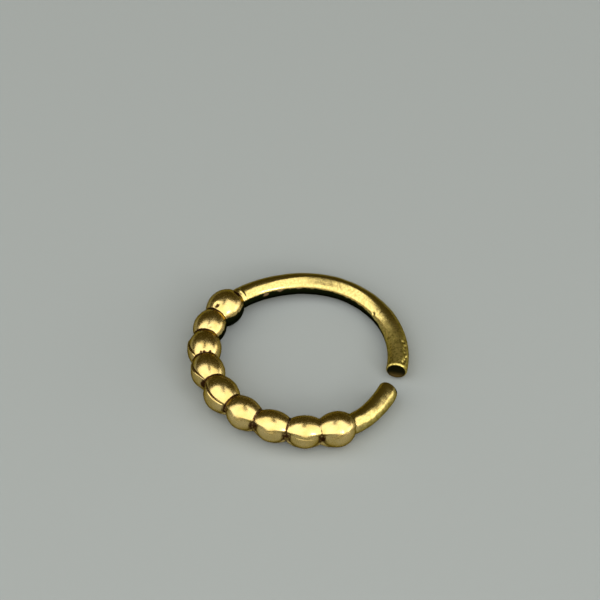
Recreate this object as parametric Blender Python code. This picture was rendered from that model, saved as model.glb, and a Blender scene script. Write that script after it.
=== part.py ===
"""Beaded hoop: nine beads fused in a row, with a plain wire arm soldered to each end of the row.

The whole hoop is one solid of brass. It is bent into an open circle, with a narrow split between the
cut ends of the two arms, and it lies on a flat surface on its two end beads and on the plain wire.
"""
from collections import namedtuple
import math

import bmesh
import bpy
from mathutils import Matrix, Vector

# Sizes in metres. Lengths along the hoop are measured on the centre line of the wire.
WIRE_DIAMETER = 0.0010
INSIDE_DIAMETER = 0.0081
BEAD_DIAMETER = 0.00170
BEAD_PITCH = 0.00147
NECK_DIAMETER = 0.00114
SHORT_ARM = 0.00362
SPLIT = 0.00126
END_BEVEL = 0.00007

# The beads are a little longer than balls: along the row, their outline is an arc whose radius is
# this many times the bead's own.
BEAD_ARC = 1.3

# Angles run anticlockwise seen from above, from +X. The first bead is the one on the long arm.
FIRST_BEAD_ANGLE = math.radians(145.4)

# The beads in their order along the row, made by hand and a little uneven. Columns: the bead's
# diameter as a share of BEAD_DIAMETER, the way to the next bead as a share of BEAD_PITCH, and how
# far the bead stands out from the true circle as a share of WIRE_DIAMETER.
Bead = namedtuple("Bead", "diameter_share pitch_share out_share")
BEADS = [
    Bead(diameter_share=1.00, pitch_share=0.96, out_share=0.04),
    Bead(diameter_share=0.91, pitch_share=0.93, out_share=0.06),
    Bead(diameter_share=0.95, pitch_share=0.95, out_share=0.03),
    Bead(diameter_share=0.95, pitch_share=1.02, out_share=0.00),
    Bead(diameter_share=0.99, pitch_share=1.04, out_share=-0.02),
    Bead(diameter_share=0.93, pitch_share=1.05, out_share=-0.04),
    Bead(diameter_share=0.91, pitch_share=1.04, out_share=-0.03),
    Bead(diameter_share=0.93, pitch_share=1.02, out_share=0.03),
    Bead(diameter_share=1.00, pitch_share=0.00, out_share=0.08),
]

# The arms are bent round by hand too. Columns: how far along the arm, from the end bead's centre to
# the cut end, and how far the wire stands out from the true circle as a share of WIRE_DIAMETER.
Bend = namedtuple("Bend", "along_share out_share")
LONG_ARM_BENDS = [
    Bend(along_share=0.23, out_share=-0.08),
    Bend(along_share=0.50, out_share=0.05),
    Bend(along_share=0.78, out_share=0.02),
    Bend(along_share=1.00, out_share=-0.13),
]
SHORT_ARM_BENDS = [
    Bend(along_share=0.35, out_share=0.03),
    Bend(along_share=1.00, out_share=-0.16),
]

# How finely the round shapes are cut into flats.
SECTION_SIDES = 16
BEAD_STEPS = 8
ARM_STEP = 0.0004
# The most of the half way to the next bead that a bead's round side may take.
BEAD_REACH = 0.9

BRASS_COLOUR = (0.62, 0.46, 0.15, 1.0)
BRASS_ROUGHNESS = 0.34

WIRE_RADIUS = WIRE_DIAMETER / 2
NECK_RADIUS = NECK_DIAMETER / 2
CENTRE_LINE_RADIUS = (INSIDE_DIAMETER + WIRE_DIAMETER) / 2

# One cross section of the hoop: how far round it stands, and its radius.
Section = namedtuple("Section", "angle radius")


def clear_scene():
    for obj in list(bpy.data.objects):
        bpy.data.objects.remove(obj, do_unlink=True)


def brass():
    material = bpy.data.materials.new("brass")
    material.use_nodes = True
    shader = material.node_tree.nodes["Principled BSDF"]
    shader.inputs["Base Color"].default_value = BRASS_COLOUR
    shader.inputs["Metallic"].default_value = 1.0
    shader.inputs["Roughness"].default_value = BRASS_ROUGHNESS
    return material


def bead_angles():
    """The angle of each bead's centre round the hoop."""
    angles = [FIRST_BEAD_ANGLE]
    for bead in BEADS[:-1]:
        angles.append(angles[-1] + bead.pitch_share * BEAD_PITCH / CENTRE_LINE_RADIUS)
    return angles


def arm_ends():
    """The angles of the two cut ends, the long arm's first."""
    short_end = bead_angles()[-1] + SHORT_ARM / CENTRE_LINE_RADIUS
    return short_end + SPLIT / CENTRE_LINE_RADIUS - 2 * math.pi, short_end


def bends():
    """How far the wire stands out from the true circle, at marked angles in order round the hoop."""
    angles = bead_angles()
    long_end, short_end = arm_ends()
    marks = [(angles[0] + bend.along_share * (long_end - angles[0]), bend.out_share)
             for bend in reversed(LONG_ARM_BENDS)]
    marks += [(angle, bead.out_share) for angle, bead in zip(angles, BEADS)]
    marks += [(angles[-1] + bend.along_share * (short_end - angles[-1]), bend.out_share)
              for bend in SHORT_ARM_BENDS]
    return marks


def centre_line(angle):
    """The distance from the hoop's centre to its centre line, eased from mark to mark."""
    marks = bends()
    place = min(max(angle, marks[0][0]), marks[-1][0])
    for (start, start_out), (end, end_out) in zip(marks, marks[1:]):
        if place <= end:
            break
    eased = (1 - math.cos(math.pi * (place - start) / (end - start))) / 2
    return CENTRE_LINE_RADIUS + (start_out + (end_out - start_out) * eased) * WIRE_DIAMETER


def foot(radius, inner_radius, room):
    """How far from its centre a bead meets what it stands on, within the room that it has."""
    arc = BEAD_ARC * radius
    rise = inner_radius + arc - radius
    return min(math.sqrt(max(arc ** 2 - rise ** 2, 0.0)), room)


def bead_sections(centre, radius, foot_before, foot_after):
    """The round of one bead, from its foot before the centre to its foot after it."""
    arc = BEAD_ARC * radius
    start = -math.asin(foot_before / arc)
    end = math.asin(foot_after / arc)
    sections = []
    for step in range(BEAD_STEPS + 1):
        turn = start + (end - start) * step / BEAD_STEPS
        along = arc * math.sin(turn) / CENTRE_LINE_RADIUS
        sections.append(Section(centre + along, radius - arc * (1 - math.cos(turn))))
    return sections


def arm_sections(start, end):
    """Plain wire between two angles, without the sections at the angles themselves."""
    steps = max(2, math.ceil((end - start) * CENTRE_LINE_RADIUS / ARM_STEP))
    return [Section(start + (end - start) * step / steps, WIRE_RADIUS) for step in range(1, steps)]


def hoop_sections():
    """All cross sections, from the cut end of the long arm round to that of the short arm."""
    angles = bead_angles()
    radii = [bead.diameter_share * BEAD_DIAMETER / 2 for bead in BEADS]
    long_end, short_end = arm_ends()
    bevel_turn = END_BEVEL / CENTRE_LINE_RADIUS

    row = []
    for index, (angle, radius) in enumerate(zip(angles, radii)):
        first, last = index == 0, index == len(angles) - 1
        before = radius if first else BEAD_REACH * (angle - angles[index - 1]) / 2 * CENTRE_LINE_RADIUS
        after = radius if last else BEAD_REACH * (angles[index + 1] - angle) / 2 * CENTRE_LINE_RADIUS
        foot_before = foot(radius, WIRE_RADIUS if first else NECK_RADIUS, before)
        foot_after = foot(radius, WIRE_RADIUS if last else NECK_RADIUS, after)
        row += bead_sections(angle, radius, foot_before, foot_after)
        if not last:
            row.append(Section((angle + angles[index + 1]) / 2, NECK_RADIUS))

    long_arm = [Section(long_end, WIRE_RADIUS - END_BEVEL), Section(long_end + bevel_turn, WIRE_RADIUS)]
    long_arm += arm_sections(long_end + bevel_turn, row[0].angle)
    short_arm = arm_sections(row[-1].angle, short_end - bevel_turn)
    short_arm += [Section(short_end - bevel_turn, WIRE_RADIUS), Section(short_end, WIRE_RADIUS - END_BEVEL)]
    return long_arm + row + short_arm


def add_section(mesh, section):
    """A ring of vertices across the hoop, in the upright plane through the hoop's centre."""
    outwards = Vector((math.cos(section.angle), math.sin(section.angle), 0.0))
    upwards = Vector((0.0, 0.0, 1.0))
    centre_radius = centre_line(section.angle)
    ring = []
    for side in range(SECTION_SIDES):
        turn = 2 * math.pi * side / SECTION_SIDES
        spot = outwards * (centre_radius + section.radius * math.cos(turn))
        ring.append(mesh.verts.new(spot + upwards * section.radius * math.sin(turn)))
    edges = [mesh.edges.new((ring[side - 1], ring[side])) for side in range(SECTION_SIDES)]
    return ring, edges


def hoop_mesh():
    """The solid hoop, flat about its own centre: the sections joined in order, and both ends closed."""
    mesh = bmesh.new()
    rings = [add_section(mesh, section) for section in hoop_sections()]
    for (_, edges), (_, next_edges) in zip(rings, rings[1:]):
        bmesh.ops.bridge_loops(mesh, edges=edges + next_edges)
    for ring, _ in (rings[0], rings[-1]):
        mesh.faces.new(ring)
    bmesh.ops.recalc_face_normals(mesh, faces=mesh.faces)
    data = bpy.data.meshes.new("beaded_hoop")
    mesh.to_mesh(data)
    mesh.free()
    data.shade_smooth()
    data.set_sharp_from_angle(angle=math.radians(40))
    return data


def resting_tilt():
    """The turn that lays the hoop on its two end beads and on the wire opposite them."""
    angles = bead_angles()
    middle = (angles[0] + angles[-1]) / 2
    end_beads = CENTRE_LINE_RADIUS * math.cos((angles[-1] - angles[0]) / 2)
    end_bead_radius = BEADS[0].diameter_share * BEAD_DIAMETER / 2
    tilt = math.asin((end_bead_radius - WIRE_RADIUS) / (CENTRE_LINE_RADIUS + end_beads))
    towards_beads = Vector((math.cos(middle), math.sin(middle), 0.0))
    return Matrix.Rotation(tilt, 4, towards_beads.cross(Vector((0.0, 0.0, 1.0))))


def lay_on_surface(hoop):
    """Tilts the hoop as it lies, and puts the origin below the middle of its outline."""
    tilt = resting_tilt()
    corners = [tilt @ vertex.co for vertex in hoop.data.vertices]
    low = Vector(min(corner[axis] for corner in corners) for axis in range(3))
    high = Vector(max(corner[axis] for corner in corners) for axis in range(3))
    middle = (low + high) / 2
    hoop.matrix_world = Matrix.Translation((-middle.x, -middle.y, -low.z)) @ tilt


clear_scene()
beaded_hoop = bpy.data.objects.new("beaded_hoop", hoop_mesh())
beaded_hoop.data.materials.append(brass())
bpy.context.scene.collection.objects.link(beaded_hoop)
lay_on_surface(beaded_hoop)
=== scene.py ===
"""An open hoop of brass wire with nine round beads fused to it, as it lies on a flat surface."""
import math
from collections import namedtuple

import bpy
import numpy as np
from mathutils import Matrix, Vector


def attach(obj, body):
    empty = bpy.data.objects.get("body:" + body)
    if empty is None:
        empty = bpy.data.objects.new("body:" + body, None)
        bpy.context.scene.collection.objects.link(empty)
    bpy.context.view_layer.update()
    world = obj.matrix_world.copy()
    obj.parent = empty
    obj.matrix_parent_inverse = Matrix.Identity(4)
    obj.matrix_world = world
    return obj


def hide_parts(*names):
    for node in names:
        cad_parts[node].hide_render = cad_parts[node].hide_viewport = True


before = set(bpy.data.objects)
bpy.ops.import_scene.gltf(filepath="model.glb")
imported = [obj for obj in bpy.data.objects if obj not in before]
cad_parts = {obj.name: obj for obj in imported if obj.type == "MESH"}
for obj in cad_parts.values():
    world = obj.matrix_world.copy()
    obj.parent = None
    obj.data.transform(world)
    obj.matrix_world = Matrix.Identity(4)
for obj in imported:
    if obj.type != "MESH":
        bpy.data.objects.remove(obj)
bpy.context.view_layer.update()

# The wire. Round brass wire, 1.0 mm across, bent by hand into an open hoop, with both ends sawn off square.
# It is drawn lying flat about the hoop's centre, and laid down as it rests when all its shape is there.
WIRE_RADIUS = 0.0005
BEND_RADIUS = 0.00455
LONG_END = math.radians(-4.2)
SHORT_END = math.radians(338.0)
# How far the bent wire stands from the hoop's centre, in millimetres, at even steps of degrees round it.
FIRST_BEND = -10
BEND_STEP = 20
HAND_BENDS = [4.400, 4.470, 4.557, 4.604, 4.600, 4.527, 4.465, 4.517, 4.607,
              4.610, 4.562, 4.532, 4.509, 4.504, 4.565, 4.628, 4.585, 4.435]
# How finely the wire is cut, round it and along it. The sides that carry the fine seam of the beads are
# given in degrees round the wire, from its outer side up, and are cut finer.
SIDES = 90
STEPS = 78
CUTS_IN_STEP = 9
SEAM_SIDES = (-8, 62)
CUTS_AT_SEAM = 2


def bent_wire(angle):
    """The distance in metres from the hoop's centre to the middle of the wire, at an angle round it."""
    place = (np.degrees(angle) - FIRST_BEND) / BEND_STEP
    step = np.floor(place).astype(int)
    share = place - step
    bends = np.array(HAND_BENDS)
    before, here, after, beyond = (bends[(step + shift) % len(bends)] for shift in (-1, 0, 1, 2))
    leave, arrive = (after - before) / 2, (beyond - here) / 2
    height = here + share * leave + share ** 2 * (3 * (after - here) - 2 * leave - arrive)
    return (height + share ** 3 * (2 * (here - after) + leave + arrive)) / 1000


def points(piece):
    """The places of a piece's vertices, a row for each."""
    found = np.empty(len(piece.data.vertices) * 3)
    piece.data.vertices.foreach_get("co", found)
    return found.reshape(-1, 3)


def wire_places(co, middle):
    """Each point's angle round the hoop, angle round the wire from its outer side up, and depth in it."""
    angle = np.arctan2(co[:, 1], co[:, 0])
    angle = np.where(angle < math.radians(FIRST_BEND), angle + 2 * math.pi, angle)
    outwards = np.hypot(co[:, 0], co[:, 1]) - (bent_wire(angle) if middle is None else middle)
    return angle, np.arctan2(co[:, 2], outwards), np.hypot(outwards, co[:, 2])


bpy.ops.object.select_all(action="DESELECT")
bpy.ops.mesh.primitive_circle_add(
    vertices=SIDES, radius=WIRE_RADIUS, rotation=(math.pi / 2, 0, LONG_END),
    location=(BEND_RADIUS * math.cos(LONG_END), BEND_RADIUS * math.sin(LONG_END), 0))
hoop = bpy.context.object
hoop.name = "fused_hoop"
bpy.ops.object.transform_apply(location=True, rotation=True, scale=True)

_, side, _ = wire_places(points(hoop), BEND_RADIUS)
bpy.ops.object.mode_set(mode="EDIT")
bpy.ops.mesh.select_all(action="DESELECT")
bpy.ops.object.mode_set(mode="OBJECT")
for edge in hoop.data.edges:
    edge.select = all(SEAM_SIDES[0] < math.degrees(side[end]) < SEAM_SIDES[1] for end in edge.vertices)
bpy.ops.object.mode_set(mode="EDIT")
bpy.ops.mesh.select_mode(type="EDGE")
bpy.ops.mesh.subdivide(number_cuts=CUTS_AT_SEAM)
bpy.ops.mesh.select_all(action="SELECT")
bpy.ops.mesh.spin(steps=STEPS, angle=SHORT_END - LONG_END, center=(0, 0, 0), axis=(0, 0, -1))
bpy.ops.mesh.select_all(action="DESELECT")
bpy.ops.object.mode_set(mode="OBJECT")
# Only the edges that run along the wire turn about the hoop's centre from end to end.
turn = np.unwrap(wire_places(points(hoop), BEND_RADIUS)[0])
for edge in hoop.data.edges:
    edge.select = abs(turn[edge.vertices[0]] - turn[edge.vertices[1]]) > math.radians(1)
bpy.ops.object.mode_set(mode="EDIT")
bpy.ops.mesh.subdivide(number_cuts=CUTS_IN_STEP)
bpy.ops.object.mode_set(mode="OBJECT")

# The beads. Nine brass beads, a little longer than balls, fused in a row by heat, so that the metal has run
# into the grooves between them. Each was struck between two dies that met a little out of line, which left
# a fine groove with a raised lip below it along the outer side, plainest on the third to the fifth bead.
# Along with its shape, each bead says how strongly the grooves beside it are darkened with copper skin and
# painted shade.
Bead = namedtuple("Bead", "angle diameter arc dirt seam seam_slope seam_share")
BEADS = [
    Bead(angle=145.4, diameter=1.695, arc=1.45, dirt=1.0, seam=36, seam_slope=0.0, seam_share=0.05),
    Bead(angle=163.2, diameter=1.545, arc=1.52, dirt=1.0, seam=30, seam_slope=1.0, seam_share=0.08),
    Bead(angle=180.4, diameter=1.610, arc=1.52, dirt=1.0, seam=19, seam_slope=2.2, seam_share=1.00),
    Bead(angle=198.0, diameter=1.610, arc=1.52, dirt=1.0, seam=27, seam_slope=1.7, seam_share=1.00),
    Bead(angle=216.9, diameter=1.675, arc=1.52, dirt=1.0, seam=36, seam_slope=-0.8, seam_share=1.00),
    Bead(angle=236.1, diameter=1.575, arc=1.65, dirt=0.7, seam=19, seam_slope=-0.6, seam_share=0.08),
    Bead(angle=255.5, diameter=1.540, arc=1.85, dirt=0.7, seam=25, seam_slope=1.5, seam_share=0.07),
    Bead(angle=274.8, diameter=1.575, arc=1.85, dirt=0.7, seam=22, seam_slope=-0.3, seam_share=0.11),
    Bead(angle=293.7, diameter=1.695, arc=1.80, dirt=0.7, seam=20, seam_slope=-1.0, seam_share=0.05),
]
FIRST_BEAD, LAST_BEAD = BEADS[0], BEADS[-1]
BEAD_REACH = math.radians(14)
# Along the row, a bead's outline is an arc of so many times the bead's own radius. It is short where the bead
# meets an arm, and below on the outer side, where a dark pocket opens between the beads.
ARC_AT_ARM = 1.25
ARC_BELOW = 1.10
NECK_ABOVE, NECK_BELOW = 0.00057, 0.00045
SOLDER = 0.000020
# The pockets lie round one side of the wire and open out along the row, both in degrees. How near to that
# side they start and are full is given in cosines, and how low the metal lies in them in metres.
POCKET_SIDE = -8
POCKET_COSINES = (0.66, 0.82)
POCKETS_OPEN = (190, 200)
POCKET_NECKS = (0.00060, 0.00053)
# How dark the pockets are painted, as painted shade.
POCKET_SHADE = 0.56
# The seam: the step between its two sides, its groove and its lip, in metres, and half its length.
SEAM_STEP, SEAM_FADE = 0.000080, 0.0005
SEAM_GROOVE, SEAM_WIDTH = 0.000040, 0.000032
SEAM_HALF = math.radians(9.2)
LIP_ROUND, LIP_FADE = 0.000045, 0.00035
# The dark line along the seam's groove, copper skin and painted shade: how dark it is, and how far above the
# seam and how wide, in metres.
SEAM_SKIN_AND_SHADE, SEAM_SKIN_AND_SHADE_PLACE, SEAM_SKIN_AND_SHADE_WIDTH = 1.7, 0.000012, 0.000030
# Where a bead meets the next the groove is darkened with copper skin and painted shade, by how far apart the two
# surfaces are.
MEETING_WIDTH = 0.000034
CLEAR_OF_MEETING = 0.00005
SKIN_AND_SHADE_AT_ARM = 0.3
# A bead's surface is looked for between these two distances from the middle of the wire.
NEAREST, FARTHEST = 0.0002, 0.0012
HALVINGS = 22


def fade(value, start, end):
    """0 on the near side of the start, 1 beyond the end, and even in between. The end may be the lower."""
    return np.clip((value - start) / (end - start), 0, 1)


def pocket_share(angle, side):
    """How far a point is where the pockets open between beads, on the outer side from the fourth bead on."""
    share = fade(np.cos(side - math.radians(POCKET_SIDE)), *POCKET_COSINES)
    return share * share * (3 - 2 * share) * fade(np.degrees(angle), *POCKETS_OPEN)


def bead_surface(bead, angle, side):
    """How far out from the middle of the wire the bead's surface is, found by halving."""
    radius = bead.diameter / 2000
    away = angle - math.radians(bead.angle)
    at_arm = (away < 0) if bead == FIRST_BEAD else (away > 0) if bead == LAST_BEAD else False
    arc_above = np.where(at_arm, ARC_AT_ARM, bead.arc)
    arc = radius * (arc_above + (ARC_BELOW - arc_above) * pocket_share(angle, side))
    middle, own_middle = bent_wire(angle), bent_wire(np.array(math.radians(bead.angle)))
    low, high = np.full_like(angle, NEAREST), np.full_like(angle, FARTHEST)
    for _ in range(HALVINGS):
        tried = (low + high) / 2
        reach = middle + tried * np.cos(side)
        along = np.minimum(np.abs(reach * np.sin(away)), arc)
        width = np.hypot(reach * np.cos(away) - own_middle, tried * np.sin(side))
        outside = width > radius - arc + np.sqrt(arc ** 2 - along ** 2)
        low, high = np.where(outside, low, tried), np.where(outside, tried, high)
    return low


def flow(one, other, fillet):
    """The higher of two surfaces, with the metal run into the corner between them."""
    near = np.maximum(fillet - np.abs(one - other), 0) / fillet
    return np.maximum(one, other) + near ** 2 * fillet / 4


def row_of_beads(angle, side):
    """The distance from the middle of the wire to the metal's surface, and how much copper skin and painted
    shade darken it.
    """
    in_row = (angle > math.radians(FIRST_BEAD.angle)) & (angle < math.radians(LAST_BEAD.angle))
    pocket = pocket_share(angle, side)
    surface = np.where(in_row, NECK_ABOVE + (NECK_BELOW - NECK_ABOVE) * pocket, WIRE_RADIUS)
    groove_skin_and_shade = np.zeros_like(angle)
    for bead in BEADS:
        away = angle - math.radians(bead.angle)
        near = np.abs(away) < BEAD_REACH
        away = away[near]
        shape = bead_surface(bead, angle[near], side[near])

        seam = math.radians(bead.seam) + bead.seam_slope * away
        above = (side[near] - seam) * bead.diameter / 2000
        share = np.clip(1 - (np.abs(away) / SEAM_HALF) ** 4, 0, 1) * bead.seam_share
        lip = np.where(above < 0, (1 - np.exp(above / LIP_ROUND)) * np.exp(above / LIP_FADE), 0)
        step = SEAM_STEP * (lip - 0.5) * np.exp(-np.abs(above) / SEAM_FADE)
        shape += share * (step - SEAM_GROOVE * np.exp(-(above / SEAM_WIDTH) ** 2))
        # A dark line is painted along the seam's groove, copper skin and painted shade.
        seam_skin_and_shade = SEAM_SKIN_AND_SHADE * share * np.exp(-((above - SEAM_SKIN_AND_SHADE_PLACE) / SEAM_SKIN_AND_SHADE_WIDTH) ** 2)

        # Where the bead meets the metal beside it, the groove is darkened with copper skin and painted shade.
        meeting = bead.dirt * np.exp(-((shape - surface[near]) / MEETING_WIDTH) ** 2)
        if bead in (FIRST_BEAD, LAST_BEAD):
            meeting = meeting * np.where((away > 0) == (bead == FIRST_BEAD), 1, SKIN_AND_SHADE_AT_ARM)
        clear = shape > surface[near] + CLEAR_OF_MEETING
        groove_skin_and_shade[near] = np.where(clear, meeting, np.maximum(groove_skin_and_shade[near], meeting))
        groove_skin_and_shade[near] = np.maximum(groove_skin_and_shade[near], seam_skin_and_shade)
        surface[near] = flow(surface[near], shape, SOLDER)
    # The pockets are darkened as painted shade where the metal lies low in them.
    low = fade(surface, *POCKET_NECKS) * in_row
    return surface, np.maximum(groove_skin_and_shade, POCKET_SHADE * low * pocket)


angle, side, _ = wire_places(points(hoop), BEND_RADIUS)
surface, groove_skin_and_shade = row_of_beads(angle, side)

# The flat on the long arm. The bare wire is pressed a little flat along its upper inner side, where it was
# held to be bent round, and the flat fades out towards both ends of the arm.
At = namedtuple("At", "angle value")
FLAT_SIDE = [At(angle=40, value=112), At(angle=65, value=112), At(angle=90, value=117), At(angle=120, value=122)]
FLAT_SHARE = [At(angle=38, value=0), At(angle=58, value=1), At(angle=92, value=1), At(angle=116, value=0)]
FLAT_DEPTH = 0.000038
FLAT_EDGE = 0.00003
LEAST_COSINE = 0.3


def along_wire(marks, angle):
    """A value that is known at some angles round the hoop, in degrees, and runs straight between them."""
    return np.interp(np.degrees(angle), [mark.angle for mark in marks], [mark.value for mark in marks])


pressed = FLAT_DEPTH * along_wire(FLAT_SHARE, angle)
off_flat = side - np.radians(along_wire(FLAT_SIDE, angle))
flat = (WIRE_RADIUS - pressed) / np.maximum(np.cos(off_flat), LEAST_COSINE)
surface = np.where(pressed > 0, -flow(-surface, -flat, FLAT_EDGE), surface)

# Marks of the work: pits where the solder shrank and where the beads don't quite meet, dents of the pliers at
# the end of the long arm, and the collar of solder round the wire where it meets the first bead. Places are
# in degrees round the hoop and round the wire, sizes in millimetres, and a mark of negative depth stands up.
# The darkness laid in a mark is copper skin and painted shade.
Mark = namedtuple("Mark", "angle side along around depth dirt")
PLIER_DENTS = [(12.6, 60), (9.9, 50), (7.2, 54), (4.7, 52), (2.2, 42), (-0.2, 50), (-2.3, 58)]
MARKS = [
    Mark(angle=152.6, side=82, along=0.085, around=0.080, depth=0.110, dirt=1.0),
    Mark(angle=137.2, side=95, along=0.120, around=0.200, depth=0.090, dirt=1.7),
    Mark(angle=135.8, side=60, along=0.070, around=0.150, depth=0.030, dirt=0.7),
    Mark(angle=169.3, side=100, along=0.050, around=0.050, depth=0.030, dirt=0.5),
    Mark(angle=41.4, side=147, along=0.060, around=0.060, depth=0.050, dirt=0.9),
    Mark(angle=207.1, side=4, along=0.160, around=0.340, depth=0.060, dirt=1.5),
    Mark(angle=226.6, side=14, along=0.090, around=0.200, depth=0.020, dirt=0.7),
    Mark(angle=246.3, side=8, along=0.120, around=0.300, depth=0.050, dirt=0.9),
    Mark(angle=264.9, side=2, along=0.120, around=0.280, depth=0.050, dirt=0.9),
    Mark(angle=284.3, side=-6, along=0.130, around=0.300, depth=0.050, dirt=0.9),
    *(Mark(angle, side, along=0.090, around=0.085, depth=0.058, dirt=0.0) for angle, side in PLIER_DENTS),
    Mark(angle=188.7, side=84, along=0.055, around=0.075, depth=0.030, dirt=1.7),
    Mark(angle=188.3, side=112, along=0.050, around=0.065, depth=0.030, dirt=1.7),
    Mark(angle=188.4, side=70, along=0.045, around=0.045, depth=0.020, dirt=1.7),
    Mark(angle=133.4, side=112, along=0.045, around=0.650, depth=-0.042, dirt=0.0),
    Mark(angle=338.8, side=25, along=0.200, around=0.500, depth=0.070, dirt=0.0),
]


def mark_the_work(angle, side, surface, groove_skin_and_shade):
    """The surface with its marks sunk in, and the darkening, copper skin and painted shade, that lies in them.
    """
    for mark in MARKS:
        away = (angle - math.radians(mark.angle)) * BEND_RADIUS * 1000 / mark.along
        turned = np.angle(np.exp(1j * (side - math.radians(mark.side)))) * surface * 1000 / mark.around
        dent = np.exp(-away ** 2 - turned ** 2)
        surface = surface - dent * mark.depth / 1000
        groove_skin_and_shade = np.maximum(groove_skin_and_shade, dent * mark.dirt)
    return surface, groove_skin_and_shade


surface, groove_skin_and_shade = mark_the_work(angle, side, surface, groove_skin_and_shade)
middle = bent_wire(angle) + surface * np.cos(side)
co = np.stack([middle * np.cos(angle), middle * np.sin(angle), surface * np.sin(side)], axis=1)
hoop.data.vertices.foreach_set("co", co.ravel())
hoop.data.update()

# The sawn ends. Each is a flat cut across the wire, its edge rounded over by rubbing, and hollowed a little
# by the cutter. Each ring of the end has its size as a share of the wire's, and how far it stands on from
# the wire, in metres.
EndRing = namedtuple("EndRing", "share onwards")
END_RINGS = [
    EndRing(1.000, 0.000000), EndRing(0.987, 0.000036), EndRing(0.960, 0.000067), EndRing(0.918, 0.000092),
    EndRing(0.868, 0.000110), EndRing(0.815, 0.000120), EndRing(0.760, 0.000122), EndRing(0.700, 0.000113),
    EndRing(0.630, 0.000098), EndRing(0.550, 0.000085), EndRing(0.450, 0.000077), EndRing(0.330, 0.000072),
    EndRing(0.200, 0.000070), EndRing(0.100, 0.000070),
]
# How near to the cut, or to each other, vertices have to be to count as there, in metres.
IN_THE_CUT = 1e-6
SAME_PLACE = 1e-7

for end, outward in ((LONG_END, -1), (SHORT_END, 1)):
    facing = Vector((-math.sin(end), math.cos(end), 0)) * outward
    side_on = Vector((math.cos(end), math.sin(end), 0))
    bpy.ops.object.mode_set(mode="EDIT")
    bpy.ops.mesh.select_mode(type="VERT")
    bpy.ops.mesh.select_all(action="DESELECT")
    bpy.ops.object.mode_set(mode="OBJECT")
    for vertex in hoop.data.vertices:
        vertex.select = abs(vertex.co.dot(facing)) < IN_THE_CUT and vertex.co.dot(side_on) > 0
    bpy.ops.object.mode_set(mode="EDIT")
    bpy.ops.mesh.duplicate()
    bpy.ops.mesh.separate(type="SELECTED")
    bpy.ops.object.mode_set(mode="OBJECT")
    sawn = next(piece for piece in bpy.context.selected_objects if piece != hoop)
    hoop.select_set(False)
    bpy.context.view_layer.objects.active = sawn
    bpy.ops.object.mode_set(mode="EDIT")
    bpy.ops.mesh.select_mode(type="EDGE")
    bpy.ops.mesh.select_all(action="SELECT")
    middle = side_on * bent_wire(np.array(end))
    for ring, inner_ring in zip(END_RINGS, END_RINGS[1:]):
        onwards = facing * (inner_ring.onwards - ring.onwards)
        bpy.ops.mesh.extrude_region_move(TRANSFORM_OT_translate={"value": onwards})
        bpy.ops.transform.resize(value=(inner_ring.share / ring.share,) * 3,
                                 center_override=middle + facing * inner_ring.onwards)
    bpy.ops.mesh.merge(type="CENTER")
    bpy.ops.object.mode_set(mode="OBJECT")
    hoop.select_set(True)
    bpy.context.view_layer.objects.active = hoop
    bpy.ops.object.join()
bpy.ops.object.mode_set(mode="EDIT")
bpy.ops.mesh.select_all(action="SELECT")
bpy.ops.mesh.remove_doubles(threshold=SAME_PLACE)
bpy.ops.mesh.normals_make_consistent(inside=False)
bpy.ops.object.mode_set(mode="OBJECT")
bpy.ops.object.shade_smooth()

# The unevenness of the whole. Hammering and polishing left no part of it quite round: the metal rises and
# falls by up to a hundredth of a millimetre, in soft swells and in much lower small dimples.
Unevenness = namedtuple("Unevenness", "name size height")
UNEVENNESS = [
    Unevenness(name="soft swells", size=0.0005, height=0.000018),
    Unevenness(name="small dimples", size=0.00022, height=0.000003),
]
for layer in UNEVENNESS:
    clouds = bpy.data.textures.new(layer.name, "CLOUDS")
    clouds.noise_scale = layer.size
    clouds.noise_depth = 1
    bpy.ops.object.modifier_add(type="DISPLACE")
    hammered = hoop.modifiers[-1]
    hammered.texture = clouds
    hammered.strength = layer.height
    hammered.mid_level = 0.75
    bpy.ops.object.modifier_apply(modifier=hammered.name)

# What the material reads, kept on the mesh: each point's place in the wire if it were straight again, the
# copper skin and painted shade in the grooves, the arms, their worn parts, with painted shade on the short
# arm, the cut ends, painted dark with shade, and the black skin that the torch left inside the wire, with
# the spots where it has come off. Places are in degrees round the hoop and round the wire.
SKIN_EDGE = [
    At(angle=4, value=184), At(angle=15, value=176), At(angle=30, value=166), At(angle=45, value=158),
    At(angle=60, value=153), At(angle=90, value=150), At(angle=120, value=145), At(angle=136, value=143),
    At(angle=146, value=153), At(angle=156, value=148), At(angle=170, value=156), At(angle=185, value=165),
    At(angle=200, value=176),
]
SKIN_SOFTNESS = 12
LOWER_SKIN_EDGE = (262, 238)
SKIN_STARTS, SKIN_STOPS = (2, 10), (196, 170)
BareSpot = namedtuple("BareSpot", "angle side")
BARE_SPOTS = [BareSpot(angle=119, side=163), BareSpot(angle=109, side=156), BareSpot(angle=96, side=152)]
BARE_LENGTH, BARE_WIDTH = 2.3, 10
LONG_ARM_EDGE, SHORT_ARM_EDGE = (140, 132), (299, 305)
# The long arm's worn end; on the short arm, all but a narrow band along its top is darkened, partly as wear and
# partly as painted shade that narrows the arm's highlight.
WORN_LONG_ARM, SHORT_ARM_WEAR_AND_SHADE, SHADED_LOWER_SIDE = (38, 18), (303, 311), (0.72, 0.47)
SHORT_ARM_WEAR_AND_SHADE_SHARE = 0.75
# The sawn faces are painted dark, oxide and painted shade.
CUT_DEPTH, CUT_ANGLES = (0.00045, 0.00042), (-4, 337.8)

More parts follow.
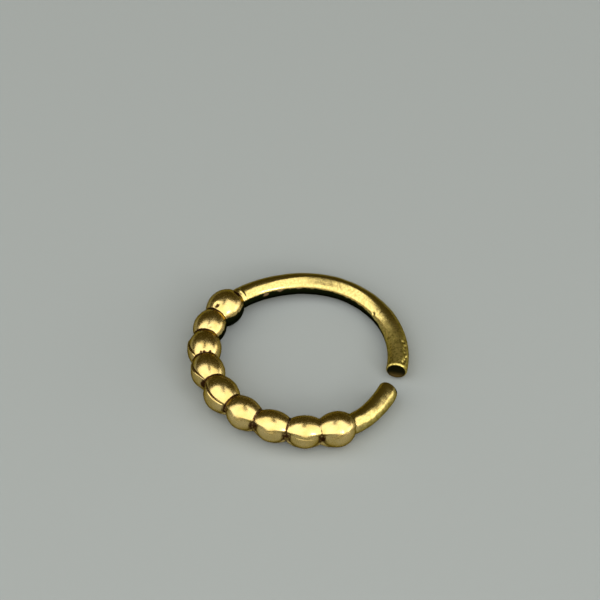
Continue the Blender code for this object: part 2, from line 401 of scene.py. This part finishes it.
angle, side, depth = wire_places(points(hoop), None)
surface, groove_skin_and_shade = mark_the_work(angle, side, *row_of_beads(angle, side))
straight = np.stack([angle * BEND_RADIUS, depth * np.cos(side), depth * np.sin(side)], axis=1) * 1000
hoop.data.attributes.new("straight", "FLOAT_VECTOR", "POINT").data.foreach_set("vector", straight.ravel())
degrees, up = np.degrees(angle), np.degrees(side) % 360
skin = fade(up - along_wire(SKIN_EDGE, angle), 0, SKIN_SOFTNESS) * fade(up, *LOWER_SKIN_EDGE)
# The short arm below its top band is darkened, wear and painted shade.
short_arm_wear_and_shade = fade(degrees, *SHORT_ARM_WEAR_AND_SHADE) * fade(np.sin(side), *SHADED_LOWER_SIDE)
finish_and_painted_light = {
    "groove_skin_and_shade": groove_skin_and_shade,
    "on_arm": fade(degrees, *LONG_ARM_EDGE) + fade(degrees, *SHORT_ARM_EDGE),
    "wear_and_shade": fade(degrees, *WORN_LONG_ARM) + SHORT_ARM_WEAR_AND_SHADE_SHARE * short_arm_wear_and_shade,
    "black_skin": skin * fade(degrees, *SKIN_STARTS) * fade(degrees, *SKIN_STOPS),
    "bare_spots": sum(np.exp(-((degrees - spot.angle) / BARE_LENGTH) ** 2 - ((up - spot.side) / BARE_WIDTH) ** 2)
                      for spot in BARE_SPOTS),
    "cut_end": fade(depth, *CUT_DEPTH) * ((degrees < CUT_ANGLES[0]) | (degrees > CUT_ANGLES[1])),
}
for name, amount in finish_and_painted_light.items():
    hoop.data.attributes.new(name, "FLOAT", "POINT").data.foreach_set("value", amount.astype(np.float32))

# The brass. A yellow brass, rubbed bright on the beads and duller on the arms, with fine pits and scratches
# along the wire. Red-brown copper skin and painted shade darken the grooves, pockets and pits, and black skin
# from the torch lies inside the wire. The worn brass darkens the end of the long arm as wear, and the short
# arm outside a narrow band along its top partly as wear and partly as painted shade. The sawn faces are
# dark with oxide and painted shade, lighter towards the bottom as a painted reflection of the table.
# Colours are red, green and blue; a brass is mottled from its first colour to its second.
RUBBED_BRASS = (0.63, 0.475, 0.192), (0.54, 0.395, 0.126)
DRAWN_BRASS = (0.61, 0.470, 0.172), (0.47, 0.365, 0.114)
WORN_AND_SHADED_BRASS = (0.56, 0.445, 0.125), (0.26, 0.205, 0.043)
COPPER_SKIN_AND_SHADE = (0.052, 0.022, 0.008)
BLACK_SKIN = (0.009, 0.012, 0.004), (0.26, 0.17, 0.09)
SAWN_FACE_WITH_PAINTED_LIGHT = (0.120, 0.078, 0.022), (0.016, 0.015, 0.005)
EDGE_TINT = (0.26, 0.21, 0.07, 1.0)
BEAD_ROUGHNESS, ARM_ROUGHNESS = 0.235, 0.22
WORN_ROUGHER, DARKENED_ROUGHER, MOTTLE_ROUGHER = 0.16, 0.25, (-0.03, 0.05)
SCRATCH_HEIGHT, PIT_HEIGHT = 0.0000005, 0.0000009
MOTTLE_HEIGHT, WORN_MOTTLE_HEIGHT = 0.0000010, 0.0000060


def brass_with_painted_light():
    """The material of the whole hoop, which reads what is kept on its mesh."""
    material = bpy.data.materials.new("worn_brass_with_painted_light")
    material.use_nodes = True
    nodes, links = material.node_tree.nodes, material.node_tree.links
    shader = nodes["Principled BSDF"]
    shader.inputs["Specular Tint"].default_value = EDGE_TINT
    shader.inputs["Metallic"].default_value = 1.0

    def add(kind, **settings):
        made = nodes.new(kind)
        for name, value in settings.items():
            setattr(made, name, value)
        return made

    def kept(name, output="Fac"):
        return add("ShaderNodeAttribute", attribute_name=name).outputs[output]

    def noise(size, detail, stretch=(1, 1, 1)):
        placed = add("ShaderNodeMapping")
        placed.inputs["Scale"].default_value = stretch
        links.new(kept("straight", "Vector"), placed.inputs["Vector"])
        made = add("ShaderNodeTexNoise")
        made.inputs["Scale"].default_value = 1 / size
        made.inputs["Detail"].default_value = detail
        links.new(placed.outputs["Vector"], made.inputs["Vector"])
        return made.outputs["Fac"]

    def ramp(value, start, end, low=0.0, high=1.0):
        made = add("ShaderNodeMapRange", interpolation_type="SMOOTHSTEP")
        for name, number in (("From Min", start), ("From Max", end), ("To Min", low), ("To Max", high)):
            made.inputs[name].default_value = number
        links.new(value, made.inputs["Value"])
        return made.outputs["Result"]

    def combined(operation, one, other):
        made = add("ShaderNodeMath", operation=operation, use_clamp=False)
        for place, value in enumerate((one, other)):
            if isinstance(value, (int, float)):
                made.inputs[place].default_value = value
            else:
                links.new(value, made.inputs[place])
        return made.outputs["Value"]

    def plus(one, other):
        return combined("ADD", one, other)

    def times(one, other):
        return combined("MULTIPLY", one, other)

    def blend(share, one, other):
        made = add("ShaderNodeMix", data_type="RGBA")
        links.new(share, made.inputs["Factor"])
        for place, value in ((6, one), (7, other)):
            if isinstance(value, tuple):
                made.inputs[place].default_value = (*value, 1.0)
            else:
                links.new(value, made.inputs[place])
        return made.outputs[2]

    # The patterns, with their sizes in millimetres.
    cloud = noise(size=0.55, detail=3)
    mottle = noise(size=0.11, detail=4)
    scratches = noise(size=0.035, detail=3, stretch=(0.12, 1, 1))
    pits = ramp(noise(size=0.045, detail=2), 0.30, 0.42)
    skin_edge = noise(size=0.22, detail=3)

    on_arm, wear_and_shade = kept("on_arm"), kept("wear_and_shade")
    rubbed = blend(ramp(cloud, 0.35, 0.7), *RUBBED_BRASS)
    drawn = blend(ramp(mottle, 0.35, 0.7), *DRAWN_BRASS)
    # The worn and shaded brass: real wear at the long arm's end, and painted shade over the short arm outside
    # its highlight.
    dull_and_shaded = blend(ramp(mottle, 0.42, 0.60), *WORN_AND_SHADED_BRASS)
    colour = blend(on_arm, rubbed, blend(wear_and_shade, drawn, dull_and_shaded))

    # Copper skin and painted shade in the grooves, pockets and pits.
    skin_and_shade_share = ramp(times(kept("groove_skin_and_shade"), ramp(mottle, 0.2, 0.7, 0.75, 1.25)), 0.30, 0.75)
    colour = blend(skin_and_shade_share, colour, COPPER_SKIN_AND_SHADE)
    skin = ramp(plus(kept("black_skin"), ramp(skin_edge, 0.3, 0.75, 0.2, -0.35)), 0.35, 0.65)
    bare = ramp(plus(kept("bare_spots"), ramp(mottle, 0.3, 0.7, -0.15, 0.15)), 0.35, 0.60)
    colour = blend(skin, colour, blend(bare, *BLACK_SKIN))
    # The sawn faces: dark with oxide and painted shade, and lighter brown towards the bottom as a painted
    # reflection of the table.
    cut = ramp(plus(kept("cut_end"), ramp(mottle, 0.3, 0.7, 0.1, -0.1)), 0.35, 0.65)
    across = add("ShaderNodeSeparateXYZ")
    links.new(kept("straight", "Vector"), across.inputs["Vector"])
    colour = blend(cut, colour, blend(ramp(across.outputs["Z"], -0.40, -0.02), *SAWN_FACE_WITH_PAINTED_LIGHT))
    links.new(colour, shader.inputs["Base Color"])

    # The darkened parts, the grooves, the black skin and the sawn faces, are rougher.
    darkened = combined("MAXIMUM", combined("MAXIMUM", skin_and_shade_share, skin), cut)
    rough = plus(ramp(on_arm, 0.0, 1.0, BEAD_ROUGHNESS, ARM_ROUGHNESS), ramp(wear_and_shade, 0.0, 1.0, 0.0, WORN_ROUGHER))
    rough = plus(rough, ramp(mottle, 0.3, 0.7, *MOTTLE_ROUGHER))
    rough = plus(rough, ramp(darkened, 0.0, 1.0, 0.0, DARKENED_ROUGHER))
    links.new(rough, shader.inputs["Roughness"])

    mottle_height = times(mottle, ramp(wear_and_shade, 0.0, 1.0, MOTTLE_HEIGHT, WORN_MOTTLE_HEIGHT))
    height = plus(plus(times(scratches, SCRATCH_HEIGHT), times(pits, PIT_HEIGHT)), mottle_height)
    bump = add("ShaderNodeBump")
    bump.inputs["Distance"].default_value = 1.0
    links.new(height, bump.inputs["Height"])
    links.new(bump.outputs["Normal"], shader.inputs["Normal"])
    return material


hoop.data.materials.append(brass_with_painted_light())

# How it rests: on its two end beads and on the wire opposite them, tipped by three and a half degrees. The
# origin is below the middle of its outline.
END_BEAD_RADIUS = 0.00085
HALF_ROW = math.radians(74.15)
TOWARDS_BEADS = math.radians(219.55)
OUTLINE_MIDDLE = Vector((0.000228, 0.000154, 0))
resting_tilt = math.asin((END_BEAD_RADIUS - WIRE_RADIUS) / (BEND_RADIUS * (1 + math.cos(HALF_ROW))))
tip_axis = Vector((math.sin(TOWARDS_BEADS), -math.cos(TOWARDS_BEADS), 0))
hoop.matrix_world = Matrix.Translation(OUTLINE_MIDDLE) @ Matrix.Rotation(resting_tilt, 4, tip_axis)
bpy.ops.object.select_all(action="DESELECT")
hoop.select_set(True)
bpy.context.view_layer.objects.active = hoop
bpy.ops.object.transform_apply(location=True, rotation=True, scale=True)
hoop.location.z = -points(hoop)[:, 2].min()
bpy.ops.object.transform_apply(location=True, rotation=True, scale=True)
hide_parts("beaded_hoop")
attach(hoop, "root")

# The table. A plain pale surface that the hoop lies on. It is not part of the hoop, and is there only to
# take its shadow and to be mirrored in the brass.
TABLE_SIZE = 3
TABLE_COLOUR = (0.246, 0.264, 0.256, 1.0)
TABLE_ROUGHNESS = 0.8
bpy.ops.object.select_all(action="DESELECT")
bpy.ops.mesh.primitive_plane_add(size=TABLE_SIZE)
table = bpy.context.object
table.name = "table"
table_paint = bpy.data.materials.new("pale_table")
table_paint.use_nodes = True
table_paint.node_tree.nodes["Principled BSDF"].inputs["Base Color"].default_value = TABLE_COLOUR
table_paint.node_tree.nodes["Principled BSDF"].inputs["Roughness"].default_value = TABLE_ROUGHNESS
table.data.materials.append(table_paint)

# The lamps: soft boxes to the left and right over the camera with a dark gap between them, a narrow and a low
# one in front, one far off to the right, and a small bright lamp low on the right. Places and sizes are in
# metres, and a glow of 1 is LAMP_POWER watts a square metre.
LAMP_POWER = 7.0
Lamp = namedtuple("Lamp", "place target width height glow")
LAMPS = {
    "left_box": Lamp(place=(-0.63, -0.125, 0.1925), target=(-0.63, -0.2904, 0.6436),
                     width=1.2, height=0.479, glow=1.0),
    "right_box": Lamp(place=(0.63, -0.125, 0.1925), target=(0.63, -0.2904, 0.6436),
                      width=1.2, height=0.479, glow=1.0),
    "front_box": Lamp(place=(0.0, -0.1925, 0.1678), target=(0.0, -0.3579, 0.6189),
                      width=0.06, height=0.336, glow=1.0),
    "right_wall": Lamp(place=(1.3, 0.1, 0.2), target=(2.6, 0.1, 0.4),
                       width=1.2, height=0.4, glow=1.0),
    "low_box": Lamp(place=(0.0, -0.62, 0.14), target=(0.0, -1.2, 0.27),
                    width=1.6, height=0.11, glow=0.35),
    "small_lamp": Lamp(place=(0.24, -0.26, 0.18), target=(0.48, -0.52, 0.36),
                       width=0.07, height=0.07, glow=6.5),
}
ROOM_COLOUR = (0.066, 0.052, 0.006, 1.0)
for name, lamp in LAMPS.items():
    light = bpy.data.lights.new(name, "AREA")
    light.shape = "RECTANGLE"
    light.size, light.size_y = lamp.width, lamp.height
    light.energy = LAMP_POWER * lamp.glow * lamp.width * lamp.height
    stand = bpy.data.objects.new(name, light)
    away = (Vector(lamp.target) - Vector(lamp.place)).normalized()
    stand.matrix_world = Matrix.Translation(lamp.place) @ away.to_track_quat("Z", "Y").to_matrix().to_4x4()
    stand.visible_camera = False
    bpy.context.scene.collection.objects.link(stand)
room = bpy.data.worlds.new("dim_room")
room.use_nodes = True
room.node_tree.nodes["Background"].inputs["Color"].default_value = ROOM_COLOUR
room.node_tree.nodes["Background"].inputs["Strength"].default_value = 1.0
bpy.context.scene.world = room
bpy.context.scene.view_settings.view_transform = "Standard"

# The camera: a long lens, 51 degrees above the table, over the side where the beads are. It is turned a
# little about its own line of sight, and aims above the hoop, so that the hoop lies low in the frame.
CAMERA_AWAY = 0.4
VIEW_WIDTH = 0.0279
SENSOR_WIDTH = 36
HOOP_MIDDLE = Vector((0.000228, 0.000154, 0.000775))
AROUND, ABOVE, TURNED = math.radians(3.25), math.radians(51.03), math.radians(0.45)
AIM_LEFT, AIM_UP = 0.0001256, 0.0026326
back = Vector((math.sin(AROUND) * math.cos(ABOVE), -math.cos(AROUND) * math.cos(ABOVE), math.sin(ABOVE)))
turned = back.to_track_quat("Z", "Y").to_matrix().to_4x4() @ Matrix.Rotation(TURNED, 4, "Z")
aim = HOOP_MIDDLE - turned.col[0].to_3d() * AIM_LEFT + turned.col[1].to_3d() * AIM_UP
camera = bpy.data.objects.new("camera", bpy.data.cameras.new("camera"))
camera.data.sensor_width = SENSOR_WIDTH
camera.data.lens = SENSOR_WIDTH * CAMERA_AWAY / VIEW_WIDTH
camera.data.clip_start, camera.data.clip_end = 0.01, 10
camera.matrix_world = Matrix.Translation(aim + back * CAMERA_AWAY) @ turned
bpy.context.scene.collection.objects.link(camera)
bpy.context.scene.camera = camera
